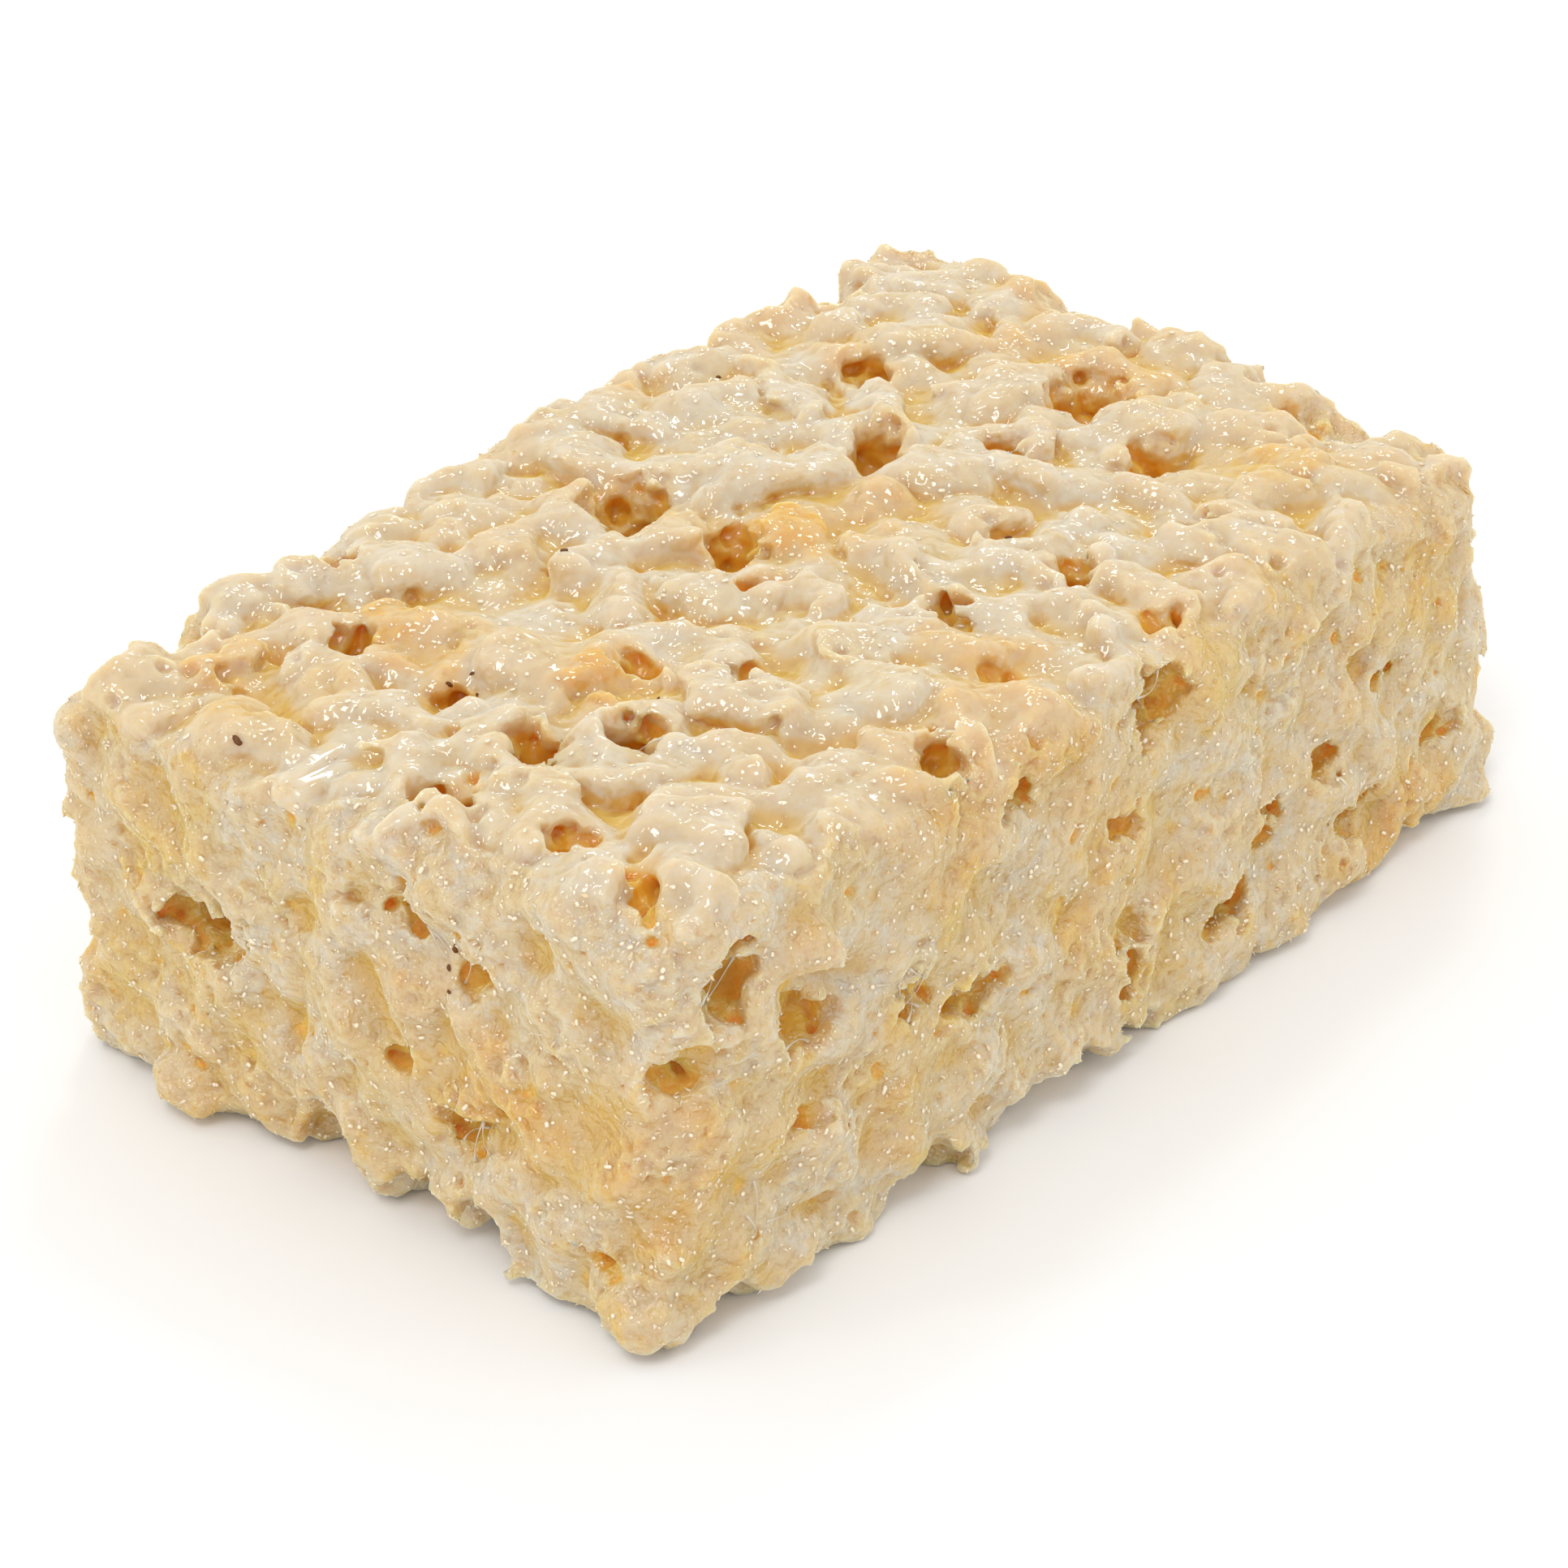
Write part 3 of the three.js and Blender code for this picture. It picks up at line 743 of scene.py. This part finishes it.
def ball(rings, around):
    """A ball of radius 1, (cos t, sin t cos u, sin t sin u) at latitude t and longitude u, with its faces."""
    t = math.pi * np.arange(1, rings + 1)[:, None] / (rings + 1)
    u = 2 * math.pi * np.arange(around) / around
    grid = np.stack([np.cos(t) + 0 * u, np.sin(t) * np.cos(u), np.sin(t) * np.sin(u)], axis=-1)
    points = np.concatenate([[(1.0, 0, 0)], grid.reshape(-1, 3), [(-1.0, 0, 0)]])
    return points, closed_faces(rings, around)


def strands(starts, middles, ends, radii, around):
    """Round threads along the curves (1 - t)^2 a + 2 t (1 - t) m + t^2 b, one radius for each step of t."""
    count, steps = radii.shape
    t = np.linspace(0, 1, steps + 2)[None, :, None]
    a, m, b = starts[:, None], middles[:, None], ends[:, None]
    path = (1 - t) ** 2 * a + 2 * t * (1 - t) * m + t**2 * b
    along = unit((1 - t) * (m - a) + t * (b - m))
    side = unit(np.cross(along, np.cross(m - a, b - m) + 1e-6))
    up = np.cross(side, along)
    u = (2 * math.pi * np.arange(around) / around)[None, None, :, None]
    ring = np.cos(u) * side[:, 1:-1, None] + np.sin(u) * up[:, 1:-1, None]
    rings = path[:, 1:-1, None] + radii[:, :, None, None] * ring
    points = np.concatenate([path[:, :1], rings.reshape(count, -1, 3), path[:, -1:]], axis=1)
    return as_one(points, closed_faces(steps, around))


def finished(obj, material):
    """Gives a piece its material and its body, and hides the solid that it stands for."""
    obj.data.materials.append(material)
    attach(obj, "root")
    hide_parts(NODE)


class Term:
    """A socket of a material that takes part in arithmetic. Each operator adds a Math node."""

    def __init__(self, finish, socket):
        self.finish = finish
        self.socket = socket

    def math(self, operation, *values):
        return self.finish.node("ShaderNodeMath", {"operation": operation}, dict(enumerate(values)))

    def __add__(self, other):
        return self.math("ADD", self, other)

    __radd__ = __add__

    def __mul__(self, other):
        return self.math("MULTIPLY", self, other)

    __rmul__ = __mul__

    def __sub__(self, other):
        return self.math("SUBTRACT", self, other)

    def __rsub__(self, other):
        return self.math("SUBTRACT", other, self)

    def __abs__(self):
        return self.math("ABSOLUTE", self)

    def within(self, low, high):
        """0 below low, 1 above high, smooth between."""
        return self.finish.node(
            "ShaderNodeMapRange",
            {"interpolation_type": "SMOOTHSTEP", "clamp": True},
            {"Value": self, "From Min": low, "From Max": high},
        )


class Finish:
    """A material's node tree, with one method that adds any node."""

    def __init__(self, name):
        self.material = bpy.data.materials.new(name)
        self.material.use_nodes = True
        self.tree = self.material.node_tree
        self.tree.nodes.clear()

    def node(self, kind, settings=None, sockets=None, output=0):
        """A node of that kind, its settings set first, then its sockets' values or links."""
        node = self.tree.nodes.new(kind)
        for name, value in (settings or {}).items():
            setattr(node, name, value)
        for key, value in (sockets or {}).items():
            if isinstance(value, Term):
                self.tree.links.new(value.socket, node.inputs[key])
            else:
                node.inputs[key].default_value = value
        return None if output is None else Term(self, node.outputs[output])

    def mark(self, name):
        """A number stored at the piece's points."""
        return self.node("ShaderNodeAttribute", {"attribute_name": name}, output="Fac")

    def mix(self, share, low, high):
        """A colour between low and high: sockets 6 and 7 of a Mix node, with the share in its socket 0."""
        low, high = (c if isinstance(c, Term) else (*c, 1) for c in (low, high))
        return self.node("ShaderNodeMix", {"data_type": "RGBA"}, {0: share, 6: low, 7: high}, output=2)

    def millimetres(self):
        """The piece's own place, in millimetres."""
        place = self.node("ShaderNodeTexCoord", output="Object")
        return self.node("ShaderNodeVectorMath", {"operation": "SCALE"}, {0: place, "Scale": 1 / MM})

    def noise(self, place, wavelength, detail=2.0, roughness=0.5):
        """Soft noise from 0 to 1 with features of about that many millimetres."""
        sockets = {"Vector": place, "Scale": 1 / wavelength, "Detail": detail, "Roughness": roughness}
        return self.node("ShaderNodeTexNoise", None, sockets)

    def bump(self, height, distance, under=None):
        """A bump of that many millimetres, over another one."""
        sockets = {"Height": height, "Distance": distance * MM}
        if under is not None:
            sockets["Normal"] = under
        return self.node("ShaderNodeBump", None, sockets)

    def glazed(self, sockets, share):
        """Ends the material in a body under a thin clear glaze, which mirrors that share of the light."""
        matt = {**sockets, "Specular IOR Level": 0.0}
        body = self.node("ShaderNodeBsdfPrincipled", {"subsurface_method": "RANDOM_WALK"}, matt)
        mirror = {"Base Color": (1, 1, 1, 1), "Metallic": 1.0}
        mirror.update({name: sockets[name] for name in ("Roughness", "Normal") if name in sockets})
        glaze = self.node("ShaderNodeBsdfPrincipled", None, mirror)
        mixed = self.node("ShaderNodeMixShader", None, {0: share, 1: body, 2: glaze})
        return self.surface(mixed)

    def surface(self, shader):
        """Ends the material in that shader."""
        self.node("ShaderNodeOutputMaterial", None, {"Surface": shader}, output=None)
        return self.material


def rice_finish(colours):
    """Cream rice and marshmallow: glossy on the top, duller and rough where cut, with a painted shade of warm
    gold in the hollows.
    """
    finish = Finish("rice and marshmallow")
    place = finish.millimetres()
    hollow, sunken = finish.mark("hollow"), finish.mark("sunken")
    toast, cut, pit = finish.mark("toast"), finish.mark("cut"), finish.mark("pit")
    broad = finish.noise(place, 6.0, 3.0)
    patches = finish.noise(place, 2.2, 4.0, 0.6)
    grit = finish.noise(place, 0.5, 3.0, 0.55)

    yellowed = finish.mark("yellowed")
    mottle = finish.noise(place, 1.1, 4.0, 0.62)
    colour = finish.mix(patches.within(0.38, 0.62), colours.cream, colours.pale)
    colour = finish.mix(cut, colour, finish.mix(mottle.within(0.42, 0.62), colours.crumb, colours.pale))
    yellow = broad.within(0.46, 0.68) * (0.3 + 0.2 * cut) + patches.within(0.53, 0.66) * (0.2 + 0.4 * cut)
    yellow = yellow + yellowed * (0.3 + 0.6 * mottle.within(0.4, 0.6))
    colour = finish.mix(yellow.within(0.0, 1.0), colour, colours.yellow)
    colour = finish.mix(toast * (0.35 + 0.4 * patches.within(0.42, 0.6)), colour, colours.toasted)
    # Painted shade: hollows, sunken places and pits are coloured a warm gold, darker and more orange where
    # they are more enclosed. The gold stands in for their shade and for the light that scatters in them.
    painted_hollow_shade = hollow.within(0.49, 0.64) * 0.65 + sunken.within(0.52, 0.7) * 0.45 + pit * 0.6
    colour = finish.mix(painted_hollow_shade.within(0.0, 1.0), colour, colours.painted_hollow_shade)
    painted_deep_shade = (pit * (0.3 + hollow.within(0.5, 0.64) * 0.6) + hollow.within(0.6, 0.8) * 0.7).within(0.0, 1.0)
    colour = finish.mix(painted_deep_shade, colour, finish.mix(cut, colours.painted_pit_shade, colours.painted_cut_hollow_shade))

    rough = 1.0 - finish.mark("sleek")
    creased = finish.noise(place, 1.3, 3.0, 0.6) - 0.5
    normal = finish.bump(finish.noise(place, 0.8, 0.0) * (1.0 - 0.45 * cut) * rough, 0.28)
    normal = finish.bump(finish.noise(place, 0.42, 0.0) * rough, 0.12, normal)
    normal = finish.bump(abs(creased) * cut * rough, 0.9, normal)
    body = {
        "Base Color": colour,
        "Roughness": 0.08 + 0.1 * cut + 0.06 * grit,
        "Normal": normal,
        "Subsurface Weight": 1.0,
        "Subsurface Radius": (1.0, 0.7, 0.4),
        "Subsurface Scale": 2.1 * MM,
    }
    # The glaze mirrors less where the painted shade of the pits lies.
    return finish.glazed(body, 0.088 - 0.06 * painted_deep_shade)


def plain_finish(name, colour, roughness, share):
    """One plain colour under the glaze, which mirrors that share of the light."""
    return Finish(name).glazed({"Base Color": (*colour, 1), "Roughness": roughness}, share)


def crumb_finish(colours):
    """Torn flakes of puffed rice, thin enough to be paler than the rice: whitish, yellow in patches."""
    finish = Finish("crumb")
    patches = finish.noise(finish.millimetres(), 2.2, 3.0)
    colour = finish.mix(patches.within(0.45, 0.62), colours.flake, colours.yellow_flake)
    return finish.glazed({"Base Color": colour, "Roughness": 0.2}, 0.08)


def floor_finish():
    """A plain pale floor."""
    finish = Finish("plain floor")
    plain = {"Base Color": (0.9, 0.9, 0.9, 1), "Roughness": 0.9, "Specular IOR Level": 0.1}
    return finish.surface(finish.node("ShaderNodeBsdfPrincipled", None, plain))


def number(name, description, default):
    """A whole number among the treat's sizes."""
    return bpy.props.IntProperty(name=name, description=description, default=default)


def tint(name, description, default):
    """One of the treat's colours."""
    return bpy.props.FloatVectorProperty(name=name, description=description, subtype="COLOR", default=default)


class TreatSizes(bpy.types.PropertyGroup):
    cell: bpy.props.FloatProperty(
        name="Cell",
        description="How finely the surface is worked out",
        default=0.26 * MM,
        unit="LENGTH",
        precision=5,
    )
    triangles: number("Triangles", "The most triangles that the bar keeps", 198000)
    crumbs: number("Crumbs", "How many torn flakes are drawn for the sides", 14000)
    beads: number("Beads", "How many sugar beads are drawn for the glaze", 11500)


class TreatColours(bpy.types.PropertyGroup):
    cream: tint("Cream", "The puffed rice", (0.59, 0.465, 0.285))
    pale: tint("Pale", "The marshmallow coat", (0.61, 0.53, 0.395))
    crumb: tint("Crumb", "The torn rice of the cut sides", (0.625, 0.475, 0.265))
    flake: tint("Flake", "Torn flakes", (0.78, 0.69, 0.52))
    yellow_flake: tint("Yellow flake", "Torn flakes in yellow patches", (0.78, 0.60, 0.34))
    yellow: tint("Yellow", "Yellow patches of rice", (0.63, 0.435, 0.15))
    toasted: tint("Toasted", "Toasted grains", (0.64, 0.365, 0.09))
    # Painted shade: the next three colours are laid into hollows and pits. They stand in for the shade there
    # and for the light that scatters in them.
    painted_hollow_shade: tint("Honey", "Shallow hollows", (0.65, 0.40, 0.10))
    painted_cut_hollow_shade: tint("Amber", "Hollows of the cut sides", (0.87, 0.56, 0.12))
    painted_pit_shade: tint("Golden", "Deep in the pits", (0.74, 0.36, 0.035))


class TREAT_OT_bar(bpy.types.Operator):
    """Make the bar: grains, marshmallow, pits and torn sides in one skin"""

    bl_idname = "treat.bar"
    bl_label = "Make the bar"

    def execute(self, context):
        sizes = context.scene.treat_sizes
        voxels, body, marks = bar_fields(sizes)
        grid = openvdb.FloatGrid(1.0)
        grid.copyFromArray(np.clip(body, -1, 1))
        points, quads = grid.convertToQuads(0.0)
        points, quads = largest_shell(points.astype(float) * voxels.cell + voxels.low, quads.astype(int))
        bar = mesh_object("crispy_rice", points, quads)
        thin(bar, sizes.triangles)
        points = unfolded(points_of(bar.data), triangles_of(bar.data))
        bar.data.vertices.foreach_set("co", ((points + FRAME_SHIFT) * MM).ravel())
        toasted, yellowed = patched(points)
        for name, field in marks.items():
            set_mark(bar.data, name, voxels.sample(field, points) + (toasted if name == "toast" else 0))
        set_mark(bar.data, "yellowed", yellowed)
        set_mark(bar.data, "sleek", sleek(points))
        finished(smoothed(bar), rice_finish(context.scene.treat_colours))
        return {"FINISHED"}


class TREAT_OT_crumbs(bpy.types.Operator):
    """Scatter torn flakes over the cut sides"""

    bl_idname = "treat.crumbs"
    bl_label = "Scatter crumbs"

    def execute(self, context):
        random = np.random.default_rng(41)
        skin = bpy.data.objects["crispy_rice"].data
        weights = (1 - smooth_step(0.5, 0.62, numbers(skin, "hollow"))) * numbers(skin, "cut") + 0.002
        spots, normals = scattered(skin, weights, context.scene.treat_sizes.crumbs, random)
        count = len(spots)
        axes = unit(0.35 * normals + random.standard_normal((count, 3)))
        points, faces = OCTAHEDRON
        points = points * random.uniform(0.6, 1.3, (count, 6, 1)) + random.uniform(-0.25, 0.25, (count, 6, 3))
        lengths = random.uniform(*CRUMB_LENGTHS, (count, 1)) * CRUMB_SHAPE
        points, faces = copies(points, faces, spots, frames_along(axes, random), lengths)
        finished(mesh_object("crumbs", points, faces), crumb_finish(context.scene.treat_colours))
        return {"FINISHED"}


class TREAT_OT_beads(bpy.types.Operator):
    """Scatter tiny beads of sugar over the glaze"""

    bl_idname = "treat.beads"
    bl_label = "Scatter sugar beads"

    def execute(self, context):
        random = np.random.default_rng(43)
        skin = bpy.data.objects["crispy_rice"].data
        weights = (1.05 - smooth_step(0.5, 0.66, numbers(skin, "hollow"))) * (1 + 0.5 * numbers(skin, "cut"))
        spots, normals = scattered(skin, weights, context.scene.treat_sizes.beads, random)
        count = len(spots)
        axes = unit(np.cross(normals, random.standard_normal((count, 3))))
        points, faces = ball(2, 5)
        widths = BEAD_WIDTH + BEAD_SPREAD * random.random((count, 1)) ** 2.6
        lengths = widths * (1 + 0.9 * random.random((count, 1)) ** 3)
        sizes = np.concatenate([lengths, widths, 0.55 * widths], axis=1)
        frames = np.stack([axes, np.cross(normals, axes), normals], axis=1)
        points, faces = copies(np.repeat(points[None], count, axis=0), faces, spots, frames, sizes)
        beads = smoothed(mesh_object("sugar_beads", points, faces))
        finished(beads, plain_finish("sugar beads", SUGAR, 0.08, 0.22))
        return {"FINISHED"}


class TREAT_OT_threads(bpy.types.Operator):
    """Draw threads of marshmallow over the hollows"""

    bl_idname = "treat.threads"
    bl_label = "Draw threads"

    def execute(self, context):
        random = np.random.default_rng(47)
        skin = bpy.data.objects["crispy_rice"].data
        points, normals = points_of(skin), normals_of(skin)
        starts, middles, ends = [], [], []
        for *place, reach, count in THREADS:
            away = np.linalg.norm(points - shifted(place), axis=1)
            near = np.flatnonzero((away < reach) & (away > 0.4 * reach))
            first, last = random.choice(near, (2, 12 * count))
            span = np.linalg.norm(points[first] - points[last], axis=1)
            picked = np.flatnonzero((span > 0.5 * reach) & (span < 1.3 * reach))[:count]
            first, last = first[picked], last[picked]
            starts.append(points[first] - 0.15 * normals[first])
            ends.append(points[last] - 0.15 * normals[last])
            raised = 0.35 * (normals[first] + normals[last]) + random.normal(0, 0.2, (len(picked), 3))
            middles.append((points[first] + points[last]) / 2 + raised)
        starts, middles, ends = (np.concatenate(p) for p in (starts, middles, ends))
        t = np.linspace(-1, 1, 9)
        radii = random.uniform(*THREAD_RADII, (len(starts), 1)) + THREAD_FOOT * t**4
        threads = smoothed(mesh_object("threads", *strands(starts, middles, ends, radii, 6)))
        finished(threads, plain_finish("thread", context.scene.treat_colours.pale, 0.15, 0.1))
        return {"FINISHED"}


class TREAT_OT_flecks(bpy.types.Operator):
    """Set the scorched flecks into the glaze"""

    bl_idname = "treat.flecks"
    bl_label = "Set flecks"

    def execute(self, context):
        random = np.random.default_rng(53)
        skin = bpy.data.objects["crispy_rice"].data
        points, normals = points_of(skin), normals_of(skin)
        places = np.array([shifted(place) for *place, _ in FLECKS])
        nearest = np.linalg.norm(points[None] - places[:, None], axis=2).argmin(axis=1)
        axes = unit(np.cross(normals[nearest], random.standard_normal(places.shape)))
        shape, faces = ball(3, 6)
        uneven = shape * random.uniform(0.8, 1.25, (len(FLECKS), len(shape), 1))
        sizes = np.array([[length / 2, length / 3, length / 3.5] for *_, length in FLECKS])
        points, faces = copies(uneven, faces, points[nearest], frames_along(axes, random), sizes)
        finished(smoothed(mesh_object("flecks", points, faces)), plain_finish("fleck", SCORCHED, 0.3, 0.02))
        return {"FINISHED"}


def direction(azimuth, elevation):
    """From the object toward a point at that azimuth and elevation, where azimuth 0 is -Y."""
    a, e = math.radians(azimuth), math.radians(elevation)
    return Vector((math.sin(a) * math.cos(e), -math.cos(a) * math.cos(e), math.sin(e)))


def aimed(name, data, place, back):
    """A new lamp or camera at that place in metres, with its back turned that way."""
    obj = linked(name, data)
    obj.location = place
    obj.rotation_euler = back.to_track_quat("Z", "Y").to_euler()
    return obj


class TREAT_OT_stage(bpy.types.Operator):
    """Set the floor, the lights and the camera"""

    bl_idname = "treat.stage"
    bl_label = "Set the stage"

    def execute(self, context):
        corners = FLOOR_REACH * np.array([(-1, -1, 0), (1, -1, 0), (1, 1, 0), (-1, 1, 0)])
        floor = mesh_object("floor", corners, np.array([(0, 1, 2, 3)]))
        floor.data.materials.append(floor_finish())
        world = bpy.data.worlds.new("studio")
        world.use_nodes = True
        sky = world.node_tree.nodes["Background"].inputs
        sky["Color"].default_value = (1, 1, 1, 1)
        sky["Strength"].default_value = SKY
        context.scene.world = world
        context.scene.view_settings.view_transform = "Standard"
        for name, azimuth, elevation, size, power in LAMPS:
            light = bpy.data.lights.new(name, "AREA")
            light.size = size * MM
            light.energy = power
            place = direction(azimuth, elevation) * LAMP_DISTANCE * MM
            aimed(name, light, place, place)
        camera = bpy.data.cameras.new("camera")
        camera.lens = LENS
        camera.sensor_width = SENSOR
        camera.clip_start = 0.01
        back = direction(AZIMUTH, ELEVATION)
        right = Vector((0, 0, 1)).cross(back).normalized()
        up = back.cross(right)
        place = Vector((0, 0, AIM_HEIGHT)) + back * DISTANCE + right * PAN[0] + up * PAN[1]
        context.scene.camera = aimed("camera", camera, place * MM, back)
        return {"FINISHED"}


class TREAT_PT_panel(bpy.types.Panel):
    """The treat's pieces and sizes"""

    bl_idname = "TREAT_PT_panel"
    bl_label = "Crispy rice treat"
    bl_space_type = "VIEW_3D"
    bl_region_type = "UI"
    bl_category = "Treat"

    def draw(self, context):
        column = self.layout.column()
        for group in (context.scene.treat_sizes, context.scene.treat_colours):
            for name in group.bl_rna.properties.keys():
                if name not in ("rna_type", "name"):
                    column.prop(group, name)
        for operator in OPERATORS:
            column.operator(operator.bl_idname)


OPERATORS = (
    TREAT_OT_bar,
    TREAT_OT_crumbs,
    TREAT_OT_beads,
    TREAT_OT_threads,
    TREAT_OT_flecks,
    TREAT_OT_stage,
)
CLASSES = (TreatSizes, TreatColours, *OPERATORS, TREAT_PT_panel)


def register():
    for cls in CLASSES:
        bpy.utils.register_class(cls)
    bpy.types.Scene.treat_sizes = bpy.props.PointerProperty(type=TreatSizes)
    bpy.types.Scene.treat_colours = bpy.props.PointerProperty(type=TreatColours)


def unregister():
    del bpy.types.Scene.treat_sizes, bpy.types.Scene.treat_colours
    for cls in reversed(CLASSES):
        bpy.utils.unregister_class(cls)


def main():
    """Makes the bar and its stage."""
    register()
    bpy.ops.treat.bar()
    bpy.ops.treat.crumbs()
    bpy.ops.treat.beads()
    bpy.ops.treat.threads()
    bpy.ops.treat.flecks()
    bpy.ops.treat.stage()


if __name__ == "__main__":
    main()
